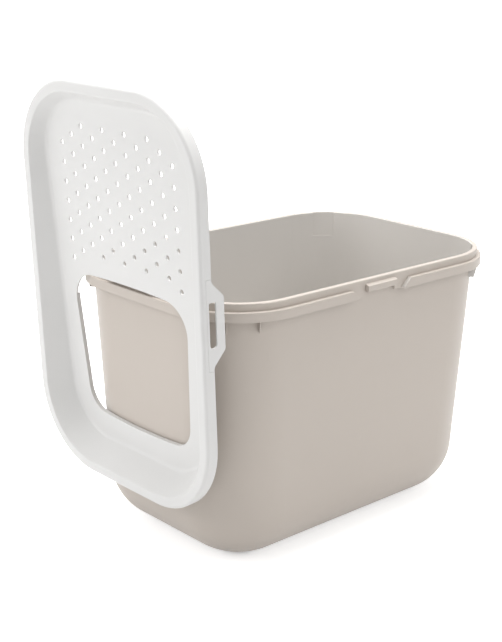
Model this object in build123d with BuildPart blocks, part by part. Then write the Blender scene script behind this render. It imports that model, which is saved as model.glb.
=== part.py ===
from build123d import *
from math import atan, cos, degrees, radians, sin
import os

# ---------------------------------------------------------------- driving dimensions (mm)
# Frame: X runs along the tub's long side, Y across it, Z up. Origin: centre of the tub's base.

# Tub outline, measured round the outer face of the flange
tub_length = 585
tub_width = 392
tub_corner_radius = 112
rim_height = 406
wall = 2.5

# Stepped rim: a lip on top, a step that carries the lid, and a flange skirt
lip_inset = 6.2
step_drop = 11
flange_drop = 25
rim_edge_radius = 1.5
lip_inner_radius = 1.25

# Tapered wall below the rim
wall_inset = 12
end_taper = 20
side_taper = 14
base_fillet = 86

# Grip recess under each short end
grip_width = 140
grip_height = 9
grip_start = 165
grip_radius = 20

# Recesses in the wall at the four corners, each between two gussets on the outside
pocket_bearing = 54
pocket_width = 36
pocket_depth = 1.3
pocket_drop = 40
gusset_spread = 44.8
gusset_gap = 1.4
gusset_thickness = 1.6
gusset_drop = 42
gusset_foot = 4

# Catch on each long side, in a notch of the flange
catch_length = 61
catch_height = 11
catch_drop = 6
catch_proud = 6
catch_lead = 2.5
catch_nose_radius = 1.2
notch_clearance = 3

# Lid
lid_end_inset = 2
lid_side_inset = -0.5
lid_corner_radius = 120
lid_wall = 2.4
lid_skirt = 17.5
lid_edge_radius = 4.5
rim_band = 16
rim_band_radius = 2.5
dish_run = 20
dish_depth = 28.4
dish_slope = 0.038
dish_floor_radius = 8

# Entry opening in the lid, with a collar on its underside at the sides and the bottom
opening_top = 9
opening_bottom = -212
opening_top_width = 262
opening_bottom_width = 232
opening_top_bow = 5
opening_bottom_bow = 6.5
opening_top_radius = 45
collar_wall = 2.4
collar_depth = 6.3
collar_start = -30

# Field of round holes
hole_diameter = 7.5
outer_column = 5
holes_per_column = 7
column_pitch = 24.64
row_pitch = 28.3
first_row = 225

# Hook that hangs the lid on the tub's rim
hook_width = 100
hook_wall = 2.4
hook_rise = 5
hook_overlap = 12
hook_play = 3
rest_clearance = 0.3
plate_gap = 1.4
hang_offset = 15

# Latch tab, one on each long side of the lid; it flexes about a line near the rim
tab_root_width = 114
tab_end_width = 73
tab_shoulder = 5
tab_reach = 20
tab_corner_radius = 7
tab_root_radius = 9
slot_clearance = 0.5
slot_top_radius = 2
slot_bottom_radius = 5
hinge_depth = 8.5
hinge_gap = 0.3

# ---------------------------------------------------------------- values that follow
half_length = tub_length / 2
half_width = tub_width / 2
step_height = rim_height - step_drop
flange_bottom = rim_height - flange_drop
pocket_ledge = rim_height - pocket_drop
gusset_bottom = rim_height - gusset_drop
lip_face = half_width - lip_inset
catch_top = rim_height - catch_drop
catch_bottom = catch_top - catch_height
corner_x = half_length - tub_corner_radius
corner_y = half_width - tub_corner_radius

lid_length = tub_length - 2 * lid_end_inset
lid_width = tub_width - 2 * lid_side_inset
lid_side = lid_width / 2

# The closed lid's skirt stands on the step, so its slot frames the catch
slot_start = step_height + lid_skirt - catch_top - slot_clearance
slot_length = catch_length + 2 * slot_clearance
slot_end = slot_start + catch_height + 2 * slot_clearance
tab_tip = lid_skirt + tab_reach
tab_node_side = tab_root_width / 2 + tab_shoulder
tab_side_run = (tab_root_width - tab_end_width) / 2 / tab_reach

# The lid leans as the end wall does, and its hook lies on the lip
lean = atan(end_taper / rim_height)
lid_up = Vector(-sin(lean), 0, cos(lean))
lid_in = Vector(cos(lean), 0, sin(lean))
hook_underside = opening_top + hook_rise
plate_back = dish_depth - dish_slope * hook_underside + lid_wall
lip_depth = plate_back + plate_gap + lip_inset
leg_depth = lip_depth + wall_inset + wall - lip_inset + hook_play
lip_edge = Vector(-half_length + lip_inset, hang_offset, rim_height + rest_clearance)
lid_centre = lip_edge - lid_up * hook_underside - lid_in * lip_depth

# Lid plane: local x runs up the hung lid, local y along +Y, local z out of its top face
lid_plane = Plane(origin=lid_centre, x_dir=lid_up, z_dir=-lid_in)
dish_plane = lid_plane.offset(-dish_depth).rotated((0, -degrees(atan(dish_slope)), 0))
lid_axis = Axis(lid_plane.origin, lid_plane.z_dir)
dish_axis = Axis(dish_plane.origin, dish_plane.z_dir)
dish_draft = degrees(atan(dish_run / dish_depth))


def outline(inset):
    """Rounded rectangle of the tub's plan, drawn in from the flange face."""
    RectangleRounded(tub_length - 2 * inset, tub_width - 2 * inset, tub_corner_radius - inset)


def wall_outline(height, inset):
    """Rounded rectangle of the tapered wall at a height, drawn in from its outer face."""
    share = 1 - height / rim_height
    length = tub_length - 2 * (wall_inset + end_taper * share + inset)
    width = tub_width - 2 * (wall_inset + side_taper * share + inset)
    RectangleRounded(length, width, tub_corner_radius - wall_inset - inset)


def grip_outline(grow):
    """Plan of both grip recesses: open at the tub's ends, rounded at their inner corners."""
    for side in (1, -1):
        with Locations((side * (grip_start - grow + tub_length / 2), 0)):
            RectangleRounded(tub_length, grip_width + 2 * grow, grip_radius + grow)


def corner_plane(side_x, side_y):
    """Level plane about a corner's centre, its x axis along the pocket's bearing."""
    bearing = radians(pocket_bearing)
    outward = (side_x * cos(bearing), side_y * sin(bearing), 0)
    return Plane((side_x * corner_x, side_y * corner_y, 0), x_dir=outward, z_dir=(0, 0, 1))


def lid_outline(inset):
    """Rounded rectangle of the lid, drawn in from its skirt."""
    RectangleRounded(lid_length - 2 * inset, lid_width - 2 * inset, lid_corner_radius - inset)


def opening_outline(grow):
    """Entry opening: wider towards the lid's middle, with bowed ends and round upper corners."""
    top = opening_top + grow
    bottom = opening_bottom - grow
    top_side = opening_top_width / 2 + grow
    bottom_side = opening_bottom_width / 2 + grow
    upper_right = (top - opening_top_bow, top_side)
    upper_left = (top - opening_top_bow, -top_side)
    lower_right = (bottom + opening_bottom_bow, bottom_side)
    lower_left = (bottom + opening_bottom_bow, -bottom_side)
    with BuildLine() as edge:
        ThreePointArc(upper_left, (top, 0), upper_right)
        Line(upper_right, lower_right)
        ThreePointArc(lower_right, (bottom, 0), lower_left)
        Line(lower_left, upper_left)
    upper_corners = make_face(edge.edges()).vertices().group_by(Axis.X)[-1]
    fillet(upper_corners, opening_top_radius + grow)


corners = [(side_x, side_y) for side_x in (1, -1) for side_y in (1, -1)]

# ---------------------------------------------------------------- tub
with BuildPart() as cavity:
    # Inside of the tub, with a housing over each grip recess
    with BuildSketch(Plane.XY.offset(wall)):
        wall_outline(wall, wall)
    with BuildSketch(Plane.XY.offset(rim_height)):
        wall_outline(rim_height, wall)
    loft(ruled=True)
    fillet(cavity.faces().sort_by(Axis.Z)[0].edges(), base_fillet - wall)
    with BuildSketch(Plane.XY):
        grip_outline(wall)
    extrude(amount=grip_height + wall, mode=Mode.SUBTRACT)

with BuildPart() as recesses:
    # Shallow recesses in the corners of the wall, open at the top of the lip
    for side_x, side_y in corners:
        with BuildSketch(corner_plane(side_x, side_y).offset(pocket_ledge)):
            with Locations((tub_corner_radius - wall_inset - wall, 0)):
                Rectangle(8 * wall, pocket_width)
        extrude(amount=pocket_drop)
    for height in (pocket_ledge, rim_height):
        with BuildSketch(Plane.XY.offset(height)):
            wall_outline(height, wall - pocket_depth)
    loft(ruled=True, mode=Mode.INTERSECT)

with BuildPart() as rim:
    # Outer steps of the rim, with the hollow under them
    with BuildSketch(Plane.XY.offset(flange_bottom)):
        outline(0)
    extrude(amount=step_height - flange_bottom)
    fillet(rim.faces().sort_by(Axis.Z)[-1].edges(), rim_edge_radius)
    with BuildSketch(Plane.XY.offset(step_height)):
        outline(lip_inset)
    extrude(amount=step_drop)
    fillet(rim.faces().sort_by(Axis.Z)[-1].edges(), rim_edge_radius)
    for inset, top in ((wall, step_height), (lip_inset + wall, rim_height)):
        with BuildSketch(Plane.XY.offset(flange_bottom)):
            outline(inset)
        extrude(amount=top - wall - flange_bottom, mode=Mode.SUBTRACT)

with BuildPart() as tub:
    # Tapered body with its large base radius
    with BuildSketch(Plane.XY):
        wall_outline(0, 0)
    with BuildSketch(Plane.XY.offset(rim_height - wall / 2)):
        wall_outline(rim_height - wall / 2, 0)
    loft(ruled=True)
    fillet(tub.faces().sort_by(Axis.Z)[0].edges(), base_fillet)
    with BuildSketch(Plane.XY):
        grip_outline(0)
    extrude(amount=grip_height, mode=Mode.SUBTRACT)
    add(rim.part)

    # Two gussets under the flange at each corner
    reach = tub_corner_radius - wall_inset
    gusset_reach = tub_corner_radius - wall - gusset_gap
    for side_x, side_y in corners:
        level = corner_plane(side_x, side_y)
        upright = Plane(level.origin, x_dir=level.x_dir, z_dir=-level.y_dir)
        for offset_side in (gusset_spread / 2, -gusset_spread / 2):
            with BuildSketch(upright.offset(offset_side)):
                with BuildLine():
                    Polyline(
                        (reach - 3 * wall, gusset_bottom),
                        (reach + gusset_foot, gusset_bottom),
                        (gusset_reach, flange_bottom),
                        (gusset_reach, step_height - wall),
                        (reach - 3 * wall, step_height - wall),
                        close=True,
                    )
                make_face()
            extrude(amount=gusset_thickness / 2, both=True)

    # Notch in the flange at each long side: a slanted frame, then the clear space inside it
    notch_top = tab_root_width / 2 + notch_clearance
    notch_bottom = notch_top - tab_side_run * (step_height - flange_bottom)
    for side_y in (1, -1):
        panel = Plane((0, 0, 0), x_dir=(1, 0, 0), z_dir=(0, side_y, 0))
        for grow, start, finish, mode in (
            (wall, lip_face - wall, half_width - rim_edge_radius, Mode.ADD),
            (0, lip_face, half_width + 1, Mode.SUBTRACT),
        ):
            with BuildSketch(panel.offset(start)):
                with BuildLine():
                    Polyline(
                        (-notch_top - grow, -side_y * step_height),
                        (notch_top + grow, -side_y * step_height),
                        (notch_bottom + grow, -side_y * flange_bottom),
                        (-notch_bottom - grow, -side_y * flange_bottom),
                        close=True,
                    )
                make_face()
            extrude(amount=finish - start, mode=mode)

        # Window in the panel, and the catch that stands above it
        with BuildSketch(panel.offset(lip_face - wall)):
            with Locations((0, -side_y * (catch_bottom + flange_bottom) / 2)):
                Rectangle(catch_length, catch_bottom - flange_bottom)
        extrude(amount=wall, mode=Mode.SUBTRACT)
        with BuildSketch(Plane.YZ.offset(-catch_length / 2)):
            with BuildLine():
                Polyline(
                    (side_y * (lip_face - wall), catch_bottom),
                    (side_y * (lip_face + catch_proud), catch_bottom),
                    (side_y * (lip_face + catch_proud), catch_top - catch_lead),
                    (side_y * lip_face, catch_top),
                    (side_y * (lip_face - wall), catch_top),
                    close=True,
                )
            nose = make_face().vertices().group_by(Axis.Y)[-1 if side_y > 0 else 0]
            fillet(nose, catch_nose_radius)
        extrude(amount=catch_length)

    # Inside of the tub, with a rounded inner edge on the lip
    add(cavity.part, mode=Mode.SUBTRACT)
    lip_top = tub.faces().filter_by(Axis.Z).sort_by(Axis.Z)[-1]
    fillet(lip_top.inner_wires()[0].edges(), lip_inner_radius)

    add(recesses.part, mode=Mode.SUBTRACT)
tub.part.label = "tub"

# ---------------------------------------------------------------- lid
with BuildPart() as dish_cavity:
    # Hollow of the dish: sloping sides, cut off by a floor that falls towards the opening
    with BuildSketch(lid_plane):
        lid_outline(rim_band)
    extrude(amount=-2 * dish_depth, taper=dish_draft)
    split(bisect_by=dish_plane, keep=Keep.TOP)
    fillet(dish_cavity.faces().sort_by(dish_axis)[0].edges(), dish_floor_radius)

with BuildPart() as dish_body:
    with BuildSketch(lid_plane):
        lid_outline(rim_band - lid_wall)
    extrude(amount=-2 * dish_depth, taper=dish_draft)
    split(bisect_by=dish_plane.offset(-lid_wall), keep=Keep.TOP)
    fillet(dish_body.faces().sort_by(dish_axis)[0].edges(), dish_floor_radius + lid_wall)

with BuildPart() as lid_hollow:
    # Hollow behind the rim band, inside the skirt
    with BuildSketch(lid_plane.offset(-lid_wall)):
        lid_outline(lid_wall)
    extrude(amount=-lid_skirt)
    fillet(lid_hollow.faces().sort_by(lid_axis)[-1].edges(), lid_edge_radius - lid_wall)

with BuildPart() as lid_shell:
    # Rim band and skirt
    with BuildSketch(lid_plane):
        lid_outline(0)
    extrude(amount=-lid_skirt)
    fillet(lid_shell.faces().sort_by(lid_axis)[-1].edges(), lid_edge_radius)
    add(lid_hollow.part, mode=Mode.SUBTRACT)

    # Latch tabs drawn on both sides, flush with the skirt's outer face
    for side in (1, -1):
        skirt_face = Plane(
            lid_centre + Vector(0, side * lid_side, 0), x_dir=lid_up, z_dir=(0, side, 0)
        )
        with BuildSketch(skirt_face) as flap:
            with BuildLine():
                Polyline(
                    (-tab_node_side, side * hinge_depth),
                    (tab_node_side, side * hinge_depth),
                    (tab_node_side, side * lid_skirt),
                    (tab_root_width / 2, side * lid_skirt),
                    (tab_end_width / 2, side * tab_tip),
                    (-tab_end_width / 2, side * tab_tip),
                    (-tab_root_width / 2, side * lid_skirt),
                    (-tab_node_side, side * lid_skirt),
                    close=True,
                )
            make_face()
            fillet(flap.vertices().sort_by(Axis.X)[3:5], tab_corner_radius)
            points = flap.vertices().sort_by(Axis.X)
            fillet([points[2], points[-3]], tab_root_radius)
        extrude(amount=-lid_wall)
        with BuildSketch(skirt_face) as slot:
            with Locations((0, side * (slot_start + slot_end) / 2)):
                Rectangle(slot_length, slot_end - slot_start)
            fillet(slot.vertices().sort_by(Axis.X)[-2:], slot_top_radius)
            fillet(slot.vertices().sort_by(Axis.X)[:2], slot_bottom_radius)
        extrude(amount=-lid_wall, mode=Mode.SUBTRACT)

with BuildPart() as tab_space:
    # The part of the skirt that swings as a tab, on both sides
    with BuildSketch(lid_plane.offset(-hinge_depth)):
        for side in (1, -1):
            with Locations((0, side * (lid_side - lid_wall / 2))):
                Rectangle(2 * tab_node_side, 2 * lid_wall)
    extrude(amount=-2 * tab_reach)

with BuildPart() as tabs:
    add(lid_shell.part)
    add(tab_space.part, mode=Mode.INTERSECT)

with BuildPart() as lid:
    add(lid_shell.part)
    with BuildSketch(lid_plane.offset(hinge_gap - hinge_depth)):
        for side in (1, -1):
            with Locations((0, side * (lid_side - lid_wall / 2))):
                Rectangle(2 * (tab_node_side + hinge_gap), 2 * lid_wall)
    extrude(amount=-2 * tab_reach, mode=Mode.SUBTRACT)

    # Dish, with the collar behind its floor at the sides and the bottom of the opening
    add(dish_body.part)
    with BuildSketch(dish_plane.offset(-lid_wall / 2)):
        opening_outline(collar_wall)
        with Locations((collar_start + opening_top_width / 2, 0)):
            Rectangle(opening_top_width, 2 * opening_top_width, mode=Mode.SUBTRACT)
    extrude(amount=lid_wall / 2 - collar_depth)
    add(dish_cavity.part, mode=Mode.SUBTRACT)
    rim_face = lid.faces().filter_by(lid_plane).sort_by(lid_axis)[-1]
    fillet(rim_face.inner_wires()[0].edges(), rim_band_radius)
    with BuildSketch(dish_plane.offset(1)):
        opening_outline(0)
    extrude(amount=-2 * collar_depth, mode=Mode.SUBTRACT)

    # Round holes in staggered columns; the outermost column starts one row lower
    with BuildSketch(dish_plane.offset(1)):
        for column in range(-outer_column, outer_column + 1):
            half_rows = 2 if abs(column) == outer_column else (column + 1) % 2
            start = first_row - half_rows * row_pitch / 2
            for row in range(holes_per_column):
                with Locations((start - row * row_pitch, column * column_pitch)):
                    Circle(hole_diameter / 2)
    extrude(amount=-2 * lid_wall, mode=Mode.SUBTRACT)

    # Hook behind the top of the opening: a shelf over the lip and a leg inside it
    with BuildSketch(Plane.XZ.offset(-hang_offset)):
        with BuildLine():
            hook_points = [
                (plate_back - lid_wall / 2, hook_underside),
                (leg_depth, hook_underside),
                (leg_depth, hook_underside - hook_overlap),
                (leg_depth + hook_wall, hook_underside - hook_overlap),
                (leg_depth + hook_wall, hook_underside + hook_wall),
                (plate_back - lid_wall / 2, hook_underside + hook_wall),
            ]
            places = [lid_centre + lid_in * depth + lid_up * up for depth, up in hook_points]
            Polyline(*[(place.X, place.Z) for place in places], close=True)
        make_face()
    extrude(amount=hook_width / 2, both=True)
lid.part.label = "lid"

near_tab, far_tab = tabs.solids().sort_by(Axis.Y)
near_tab.label = "near_latch_tab"
far_tab.label = "far_latch_tab"

# ---------------------------------------------------------------- export
os.makedirs("parts", exist_ok=True)
export_step(tub.part, "parts/tub.step")
export_step(lid.part, "parts/lid.step")
export_step(near_tab, "parts/near_latch_tab.step")
export_step(far_tab, "parts/far_latch_tab.step")
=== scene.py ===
"""Finish, light and camera for a top entry litter box: a deep tub with its lid hung on one end."""

from math import cos, pi, radians, sin

import bmesh
import bpy
from mathutils import Euler, Matrix, Vector


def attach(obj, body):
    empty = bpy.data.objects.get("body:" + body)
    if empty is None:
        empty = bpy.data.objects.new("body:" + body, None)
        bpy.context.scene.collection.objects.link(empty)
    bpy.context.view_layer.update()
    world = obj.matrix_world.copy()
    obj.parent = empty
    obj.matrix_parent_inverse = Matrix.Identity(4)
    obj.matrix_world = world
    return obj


bl_info = {
    "name": "Top entry litter box",
    "version": (1, 0, 0),
    "blender": (4, 5, 0),
    "location": "View3D > Sidebar > Litter Box",
    "description": "Finishes a litter box tub and lid in moulded plastic and sets a white studio",
    "category": "Object",
}

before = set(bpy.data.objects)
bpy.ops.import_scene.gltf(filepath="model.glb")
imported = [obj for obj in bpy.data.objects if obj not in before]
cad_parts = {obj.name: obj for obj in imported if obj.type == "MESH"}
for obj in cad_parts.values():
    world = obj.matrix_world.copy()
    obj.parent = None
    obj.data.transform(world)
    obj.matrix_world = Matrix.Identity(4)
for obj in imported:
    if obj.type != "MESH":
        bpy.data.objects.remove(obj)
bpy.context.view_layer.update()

MM = 0.001

# Surface of the plastics
CLOUDS_PER_METRE = 3.5
STREAKS_PER_METRE = 45.0
ROUGHNESS_SPREAD = 0.12
GRAIN_STRENGTH = 0.6
PLASTIC_IOR = 1.49
PLASTIC_SHEEN = 0.42
TUB_EDGE_RADIUS = 0.5 * MM
LID_EDGE_RADIUS = 0.25 * MM

# Middle of the tub's mouth. A face counts as an inner one as it looks towards this point: not
# at all below the first length, and wholly above the second
TUB_MOUTH = (0.0, 0.0, 400 * MM)
INNER_START = 20 * MM
INNER_FULL = 60 * MM

# Webs that round the lower corners of the entry opening: steps of the round edge, how far each
# web goes into the lid, and how far its flat faces lie inside the lid's
WEB_STEPS = 20
WEB_OVERLAP = 0.8 * MM
WEB_SINK = 0.04 * MM
SHARP_ANGLE = radians(30)

# Studio: gap under the tub, how many times the shadow's reach the floor takes to turn white,
# and the square lamps as name, place, side in metres and power in watts
FLOOR_GAP = 0.3 * MM
WHITE_FLOOR_SHARE = 4.0
SENSOR_WIDTH = 36.0
LAMP_AIM = (0.0, 0.0, 0.25)
LAMPS = (
    ("left_softbox", (-2.4, 1.3, 1.5), 2.0, 33),
    ("front_softbox", (1.0, -2.6, 2.1), 2.0, 20),
    ("top_softbox", (0.2, 0.3, 2.8), 2.4, 108),
)


# ---------------------------------------------------------------- kinds of setting
def colour_setting(name, description, default):
    """Setting for a colour."""
    return bpy.props.FloatVectorProperty(
        name=name,
        description=description,
        subtype="COLOR",
        size=3,
        min=0,
        max=1,
        default=default,
    )


def place_setting(name, description, default):
    """Setting for a point, in metres."""
    return bpy.props.FloatVectorProperty(
        name=name,
        description=description,
        subtype="TRANSLATION",
        unit="LENGTH",
        size=3,
        default=default,
    )


def length_setting(name, description, default):
    """Setting for a length, in metres."""
    return bpy.props.FloatProperty(
        name=name, description=description, unit="LENGTH", default=default
    )


def angle_setting(name, description, degrees):
    """Setting for an angle, with its default given in degrees."""
    return bpy.props.FloatProperty(
        name=name,
        description=description,
        subtype="ANGLE",
        unit="ROTATION",
        default=radians(degrees),
    )


def share_setting(name, description, default):
    """Setting for a value from 0 to 1."""
    return bpy.props.FloatProperty(
        name=name, description=description, subtype="FACTOR", min=0, max=1, default=default
    )


# ---------------------------------------------------------------- sizes and colours
class PlasticSettings(bpy.types.PropertyGroup):
    """Colours and surface of the two moulded plastics."""

    tub_colour: colour_setting("Tub colour", "Warm taupe of the tub", (0.495, 0.444, 0.397))
    # Painted light: a paler, greyer copy of the tub colour for the inner faces, standing in for the
    # extra light inside the tub
    tub_inner_painted_light: colour_setting(
        "Tub inner colour", "Paler, greyer taupe of the tub's inner faces", (0.595, 0.570, 0.540)
    )
    lid_colour: colour_setting(
        "Lid colour", "White of the lid and its latch tabs", (0.655, 0.650, 0.640)
    )
    tub_roughness: share_setting("Tub roughness", "Middle value of the tub's roughness", 0.46)
    lid_roughness: share_setting("Lid roughness", "Middle value of the lid's roughness", 0.40)
    grain_size: length_setting(
        "Grain size", "Width of one grain of the moulded texture", 0.9 * MM
    )
    grain_depth: length_setting("Grain depth", "Depth of the moulded texture", 0.03 * MM)


class OpeningSettings(bpy.types.PropertyGroup):
    """Webs that round the two lower corners of the lid's entry opening."""

    corner_middle: place_setting(
        "Corner middle",
        "Point on the face of the lid's floor, midway between the two lower corners",
        (-277.17 * MM, 15.0 * MM, 187.13 * MM),
    )
    corner_spread: length_setting(
        "Corner spread", "Distance between the two lower corners", 232 * MM
    )
    corner_radius: length_setting("Corner radius", "Radius of the rounded corners", 38 * MM)
    corner_depth: length_setting(
        "Corner depth", "Depth of the opening's edge, as deep as its collar", 6.3 * MM
    )
    floor_lean: angle_setting("Floor lean", "Lean of the lid's floor from upright", 4.996)
    side_slope: angle_setting(
        "Side slope", "Angle by which each side of the opening spreads upwards", 4.1
    )
    bottom_slope: angle_setting(
        "Bottom slope", "Angle by which the bottom edge falls from a corner to the middle", 5.54
    )


class StudioSettings(bpy.types.PropertyGroup):
    """Camera, floor and even light."""

    camera_place: place_setting(
        "Camera place", "Where the camera stands", (-1.3394, -1.3931, 0.8868)
    )
    camera_turn: bpy.props.FloatVectorProperty(
        name="Camera turn",
        description="Turn of the camera about X, Y and Z",
        subtype="EULER",
        unit="ROTATION",
        size=3,
        default=(radians(72.85), radians(-0.50), radians(-41.93)),
    )
    lens: bpy.props.FloatProperty(
        name="Lens",
        description="Focal length in millimetres on a sensor 36 mm wide",
        default=93.5,
    )
    frame_shift: bpy.props.FloatVectorProperty(
        name="Frame shift",
        description="Small shift of the frame across and up, in widths of the image",
        size=2,
        default=(0.0056, 0.0042),
    )
    floor_size: length_setting("Floor size", "Side of the square floor", 60.0)
    floor_colour: colour_setting("Floor colour", "Pale colour of the floor", (0.86, 0.86, 0.86))
    floor_glow: share_setting(
        "Floor glow", "Extra white of the floor that only the camera sees", 0.6
    )
    # Painted shade: the floor's camera-only glow fades to nothing over the shade width towards the
    # flat of the base, so the floor looks darkest there
    foot_length: length_setting(
        "Foot length", "Length of the flat of the base, where the floor is darkest", 349 * MM
    )
    foot_width: length_setting("Foot width", "Width of the flat of the base", 168 * MM)
    painted_shade_width: length_setting(
        "Shade width", "Width of the dark band on the floor round the flat of the base", 36 * MM
    )
    shadow_reach: length_setting(
        "Shadow reach", "Distance from the middle at which the floor starts to turn white", 0.7
    )
    room_light: share_setting("Room light", "Strength of the even white light all round", 0.45)


# ---------------------------------------------------------------- shader helpers
class Signal:
    """One output of a shader node, with arithmetic that adds Math nodes."""

    def __init__(self, recipe, socket):
        self.recipe = recipe
        self.socket = socket

    def _math(self, operation, left, right):
        return self.recipe.node("ShaderNodeMath", {"operation": operation}, {0: left, 1: right})

    def __add__(self, other):
        return self._math("ADD", self, other)

    def __radd__(self, other):
        return self._math("ADD", other, self)

    def __sub__(self, other):
        return self._math("SUBTRACT", self, other)

    def __mul__(self, other):
        return self._math("MULTIPLY", self, other)

    def __neg__(self):
        return self._math("MULTIPLY", self, -1.0)

    def larger(self, other):
        """The larger of two values."""
        return self._math("MAXIMUM", self, other)


class Recipe:
    """A material or world under construction."""

    def __init__(self, owner):
        owner.use_nodes = True
        self.tree = owner.node_tree
        self.tree.nodes.clear()

    def node(self, kind, settings=None, values=None, output=0):
        """Adds a node, sets it up, feeds its inputs and returns one output."""
        node = self.tree.nodes.new(kind)
        for name, value in (settings or {}).items():
            setattr(node, name, value)
        for key, value in (values or {}).items():
            if isinstance(value, Signal):
                self.tree.links.new(value.socket, node.inputs[key])
            else:
                node.inputs[key].default_value = value
        return Signal(self, node.outputs[output]) if node.outputs else node

    def vector(self, operation, left, right=None, output="Vector"):
        """Vector arithmetic on one or two vectors."""
        values = {0: left} if right is None else {0: left, 1: right}
        return self.node("ShaderNodeVectorMath", {"operation": operation}, values, output)

    def ramp(self, value, start, end, low, high):
        """Smooth step from low at start to high at end."""
        values = {"Value": value, "From Min": start, "From Max": end, "To Min": low, "To Max": high}
        settings = {"interpolation_type": "SMOOTHSTEP"}
        return self.node("ShaderNodeMapRange", settings, values, "Result")

    def mix(self, share, first, second):
        """First colour at 0, second colour at 1."""
        colours = {"Factor": share, "A": first, "B": second}
        return self.node("ShaderNodeMix", {"data_type": "RGBA"}, colours, "Result")

    def noise(self, place, scale, detail, roughness=0.5):
        """Smooth random values near 0.5, with the given number of lumps per metre."""
        values = {"Vector": place, "Scale": scale, "Detail": detail, "Roughness": roughness}
        return self.node("ShaderNodeTexNoise", {}, values, "Fac")


def rgba(colour, share=1.0):
    """Colour as four numbers, made lighter or darker by a share."""
    return tuple(min(1.0, part * share) for part in colour) + (1.0,)


# ---------------------------------------------------------------- plastics
def clouded(recipe, place, colour):
    """Colour with faint clouds a few hundred millimetres wide."""
    clouds = recipe.noise(place, CLOUDS_PER_METRE, 2.0)
    return recipe.mix(clouds, rgba(colour, 0.975), rgba(colour, 1.02))


def inner_faces(recipe, place):
    """1 on the faces that look towards the middle of the tub's mouth, 0 on the others: where the
    painted inner light goes.
    """
    outward = recipe.vector("SUBTRACT", place, TUB_MOUTH)
    normal = recipe.node("ShaderNodeTexCoord", output="Normal")
    facing = -recipe.vector("DOT_PRODUCT", outward, normal, "Value")
    return recipe.ramp(facing, INNER_START, INNER_FULL, 0.0, 1.0)


def moulded_plastic(name, colour, roughness, settings, edge_radius, painted_inner_light=None):
    """Moulded plastic with a fine grain, faint clouding and softly rounded edges, and painted light
    on the tub's inner faces when an inner colour is given.
    """
    material = bpy.data.materials.new(name)
    recipe = Recipe(material)
    place = recipe.node("ShaderNodeTexCoord", output="Object")

    tone = clouded(recipe, place, colour)
    if painted_inner_light is not None:
        # Painted light: the inner faces take the paler, greyer copy of the tub colour, for the
        # extra light inside the tub
        tone = recipe.mix(inner_faces(recipe, place), tone, clouded(recipe, place, painted_inner_light))
    streak = recipe.noise(place, STREAKS_PER_METRE, 3.0, 0.6)
    gloss = roughness + (streak - 0.5) * ROUGHNESS_SPREAD

    grain = recipe.noise(place, 1.0 / settings.grain_size, 2.0, 0.6)
    relief = {
        "Height": grain,
        "Strength": GRAIN_STRENGTH,
        "Distance": settings.grain_depth,
        "Normal": recipe.node("ShaderNodeBevel", {"samples": 4}, {"Radius": edge_radius}),
    }
    surface = recipe.node(
        "ShaderNodeBsdfPrincipled",
        {},
        {
            "Base Color": tone,
            "Roughness": gloss,
            "IOR": PLASTIC_IOR,
            "Specular IOR Level": PLASTIC_SHEEN,
            "Normal": recipe.node("ShaderNodeBump", {}, relief),
        },
    )
    recipe.node("ShaderNodeOutputMaterial", {}, {"Surface": surface})
    return material


def taupe_plastic(plastic):
    """The plastic of the tub."""
    return moulded_plastic(
        "taupe_moulded_plastic",
        plastic.tub_colour,
        plastic.tub_roughness,
        plastic,
        TUB_EDGE_RADIUS,
        plastic.tub_inner_painted_light,
    )


def white_plastic(plastic):
    """The plastic of the lid, its latch tabs and the corners of its opening, made once."""
    name = "white_moulded_plastic"
    return bpy.data.materials.get(name) or moulded_plastic(
        name, plastic.lid_colour, plastic.lid_roughness, plastic, LID_EDGE_RADIUS
    )


def dress(node_name, material):
    """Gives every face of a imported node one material."""
    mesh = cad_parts[node_name].data
    mesh.materials.clear()
    mesh.materials.append(material)


# ---------------------------------------------------------------- pieces
class FinishTub(bpy.types.Operator):
    """Finish the tub in taupe moulded plastic"""

    bl_idname = "litterbox.finish_tub"
    bl_label = "Finish Tub"

    def execute(self, context):
        dress("tub", taupe_plastic(context.scene.litterbox_plastic))
        return {"FINISHED"}


class FinishLid(bpy.types.Operator):
    """Finish the lid and its latch tabs in white moulded plastic"""

    bl_idname = "litterbox.finish_lid"
    bl_label = "Finish Lid"

    def execute(self, context):
        material = white_plastic(context.scene.litterbox_plastic)
        for node_name in ("lid", "near_latch_tab", "far_latch_tab"):
            dress(node_name, material)
        return {"FINISHED"}


def web_outline(opening):
    """Points of one web as (up, outward) from the square corner, the rounded edge last."""
    side_bearing = pi / 2 + opening.side_slope
    bottom_bearing = pi - opening.bottom_slope
    half_angle = (pi / 2 + opening.side_slope + opening.bottom_slope) / 2
    side_normal = Vector((cos(side_bearing), sin(side_bearing)))
    bottom_normal = Vector((cos(bottom_bearing), sin(bottom_bearing)))
    towards_corner = (side_normal + bottom_normal).normalized()
    centre = -towards_corner * opening.corner_radius / sin(half_angle)
    arc = []
    for step in range(WEB_STEPS + 1):
        bearing = bottom_bearing + (side_bearing - bottom_bearing) * step / WEB_STEPS
        arc.append(centre + Vector((cos(bearing), sin(bearing))) * opening.corner_radius)
    return [
        arc[-1] + side_normal * WEB_OVERLAP,
        towards_corner * WEB_OVERLAP / sin(half_angle),
        arc[0] + bottom_normal * WEB_OVERLAP,
        *arc,
    ]


def add_web(shape, opening, side):
    """Adds the web of one lower corner of the opening, at +Y for side 1 and at -Y for side -1."""
    lean = opening.floor_lean
    up = Vector((-sin(lean), 0.0, cos(lean)))
    behind = Vector((cos(lean), 0.0, sin(lean)))
    across = Vector((0.0, side, 0.0))
    corner = Vector(opening.corner_middle) + across * opening.corner_spread / 2
    rings = []
    for depth in (WEB_SINK, opening.corner_depth - WEB_SINK):
        level = corner + behind * depth
        points = [level + up * rise + across * out for rise, out in web_outline(opening)]
        rings.append([shape.verts.new(point) for point in points])
        shape.faces.new(rings[-1])
    front, back = rings
    for index in range(len(front)):
        shape.faces.new((front[index - 1], front[index], back[index], back[index - 1]))


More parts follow.
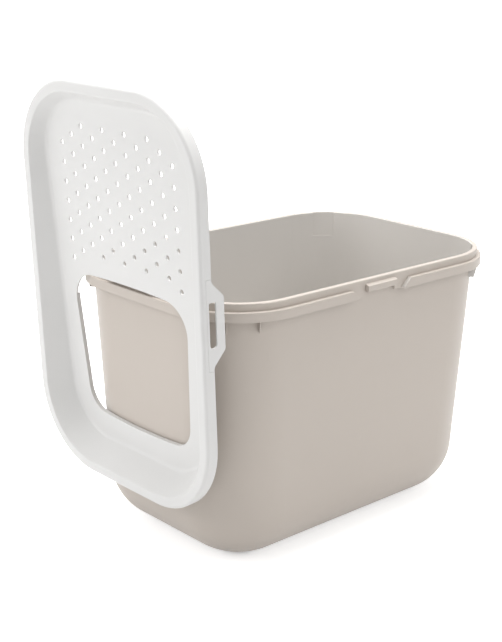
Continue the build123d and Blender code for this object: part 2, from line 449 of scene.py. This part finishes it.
class RoundOpening(bpy.types.Operator):
    """Round the two lower corners of the entry opening with a web in each"""

    bl_idname = "litterbox.round_opening"
    bl_label = "Round Opening"

    def execute(self, context):
        shape = bmesh.new()
        for side in (1, -1):
            add_web(shape, context.scene.litterbox_opening, side)
        bmesh.ops.recalc_face_normals(shape, faces=shape.faces)
        for face in shape.faces:
            face.smooth = True
        mesh = bpy.data.meshes.new("entry_opening_corners")
        shape.to_mesh(mesh)
        shape.free()
        mesh.set_sharp_from_angle(angle=SHARP_ANGLE)
        mesh.materials.append(white_plastic(context.scene.litterbox_plastic))
        webs = bpy.data.objects.new("entry_opening_corners", mesh)
        context.scene.collection.objects.link(webs)
        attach(webs, "lid_body")
        return {"FINISHED"}


# ---------------------------------------------------------------- studio
def soft_lamp(scene, name, place, side, watts):
    """Large square lamp that looks at the middle of the object."""
    data = bpy.data.lights.new(name, "AREA")
    data.shape = "SQUARE"
    data.size = side
    data.energy = watts
    lamp = bpy.data.objects.new(name, data)
    towards = Vector(LAMP_AIM) - Vector(place)
    turn = towards.to_track_quat("-Z", "Y").to_matrix().to_4x4()
    lamp.matrix_world = Matrix.Translation(place) @ turn
    scene.collection.objects.link(lamp)


def camera_only(recipe, strength):
    """A value that only rays from the camera, a reflection or clear matter receive."""
    straight = recipe.node("ShaderNodeLightPath", output="Is Camera Ray")
    mirrored = recipe.node("ShaderNodeLightPath", output="Is Glossy Ray")
    through = recipe.node("ShaderNodeLightPath", output="Is Transmission Ray")
    return straight.larger(mirrored).larger(through) * strength


def pale_floor(studio):
    """Matt floor that keeps the tub's shadow, is darkened round the flat of the base by painted
    shade, and looks plain white further out.
    """
    material = bpy.data.materials.new("pale_floor")
    recipe = Recipe(material)
    matt = recipe.node("ShaderNodeBsdfDiffuse", {}, {"Color": rgba(studio.floor_colour)})

    place = recipe.node("ShaderNodeTexCoord", output="Object")
    foot = (studio.foot_length / 2, studio.foot_width / 2, 0.0)
    beside = recipe.vector("SUBTRACT", recipe.vector("ABSOLUTE", place), foot)
    outside = recipe.vector("MAXIMUM", beside, (0.0, 0.0, 0.0))
    gap = recipe.vector("LENGTH", outside, output="Value")
    # Painted shade: glow that fades to nothing at the flat of the base, darkening the floor under
    # and beside the tub
    glow_outside_painted_shade = recipe.ramp(gap, 0.0, studio.painted_shade_width, 0.0, studio.floor_glow)
    away = recipe.vector("LENGTH", place, output="Value")
    white_reach = WHITE_FLOOR_SHARE * studio.shadow_reach
    far_white = recipe.ramp(away, studio.shadow_reach, white_reach, 0.0, 1.0 - studio.floor_glow)

    strength = camera_only(recipe, 1.0) * (glow_outside_painted_shade + far_white)
    glow = recipe.node("ShaderNodeEmission", {}, {"Strength": strength})
    both = recipe.node("ShaderNodeAddShader", {}, {0: matt, 1: glow})
    recipe.node("ShaderNodeOutputMaterial", {}, {"Surface": both})
    return material


class BuildStudio(bpy.types.Operator):
    """Set the camera, the pale floor, the room light and the lamps"""

    bl_idname = "litterbox.build_studio"
    bl_label = "Build Studio"

    def execute(self, context):
        scene = context.scene
        studio = scene.litterbox_studio
        self.add_camera(scene, studio)
        self.add_floor(scene, studio)
        self.light_room(scene, studio)
        for name, place, side, watts in LAMPS:
            soft_lamp(scene, name, place, side, watts)
        scene.view_settings.view_transform = "Standard"
        return {"FINISHED"}

    def add_camera(self, scene, studio):
        """Camera at the photograph's viewing angle."""
        data = bpy.data.cameras.new("studio_camera")
        data.sensor_width = SENSOR_WIDTH
        data.sensor_fit = "HORIZONTAL"
        data.lens = studio.lens
        data.shift_x, data.shift_y = studio.frame_shift
        camera = bpy.data.objects.new("studio_camera", data)
        turn = Euler(studio.camera_turn, "XYZ").to_matrix().to_4x4()
        camera.matrix_world = Matrix.Translation(studio.camera_place) @ turn
        scene.collection.objects.link(camera)
        scene.camera = camera

    def add_floor(self, scene, studio):
        """Flat square floor just under the tub."""
        mesh = bpy.data.meshes.new("studio_floor")
        shape = bmesh.new()
        bmesh.ops.create_grid(
            shape,
            x_segments=1,
            y_segments=1,
            size=studio.floor_size / 2,
            matrix=Matrix.Translation((0.0, 0.0, -FLOOR_GAP)),
        )
        shape.to_mesh(mesh)
        shape.free()
        mesh.materials.append(pale_floor(studio))
        floor = bpy.data.objects.new("studio_floor", mesh)
        scene.collection.objects.link(floor)

    def light_room(self, scene, studio):
        """Even white light all round, and plain white behind the object."""
        scene.world = bpy.data.worlds.new("studio_world")
        recipe = Recipe(scene.world)
        strength = studio.room_light + camera_only(recipe, 1.0 - studio.room_light)
        light = recipe.node(
            "ShaderNodeBackground", {}, {"Color": (1.0, 1.0, 1.0, 1.0), "Strength": strength}
        )
        recipe.node("ShaderNodeOutputWorld", {}, {"Surface": light})


# ---------------------------------------------------------------- panel and registration
PIECE_OPERATORS = (FinishTub, FinishLid, RoundOpening, BuildStudio)
PLASTIC_ROWS = ("tub_colour", "tub_inner_painted_light", "lid_colour", "tub_roughness", "lid_roughness")
STUDIO_ROWS = ("camera_place", "camera_turn", "lens", "floor_glow", "room_light")


class LitterBoxPanel(bpy.types.Panel):
    """Lists the finishing steps and the main settings"""

    bl_idname = "VIEW3D_PT_litterbox"
    bl_label = "Litter Box"
    bl_space_type = "VIEW_3D"
    bl_region_type = "UI"
    bl_category = "Litter Box"

    def draw(self, context):
        column = self.layout.column()
        for name in PLASTIC_ROWS:
            column.prop(context.scene.litterbox_plastic, name)
        column.prop(context.scene.litterbox_opening, "corner_radius")
        for name in STUDIO_ROWS:
            column.prop(context.scene.litterbox_studio, name)
        for operator in PIECE_OPERATORS:
            column.operator(operator.bl_idname)


SETTING_GROUPS = (PlasticSettings, OpeningSettings, StudioSettings)
CLASSES = SETTING_GROUPS + PIECE_OPERATORS + (LitterBoxPanel,)


def register():
    for item in CLASSES:
        bpy.utils.register_class(item)
    bpy.types.Scene.litterbox_plastic = bpy.props.PointerProperty(type=PlasticSettings)
    bpy.types.Scene.litterbox_opening = bpy.props.PointerProperty(type=OpeningSettings)
    bpy.types.Scene.litterbox_studio = bpy.props.PointerProperty(type=StudioSettings)


def unregister():
    del bpy.types.Scene.litterbox_studio
    del bpy.types.Scene.litterbox_opening
    del bpy.types.Scene.litterbox_plastic
    for item in reversed(CLASSES):
        bpy.utils.unregister_class(item)


def main():
    """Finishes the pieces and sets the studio."""
    register()
    bpy.ops.litterbox.finish_tub()
    bpy.ops.litterbox.finish_lid()
    bpy.ops.litterbox.round_opening()
    bpy.ops.litterbox.build_studio()


if __name__ == "__main__":
    main()
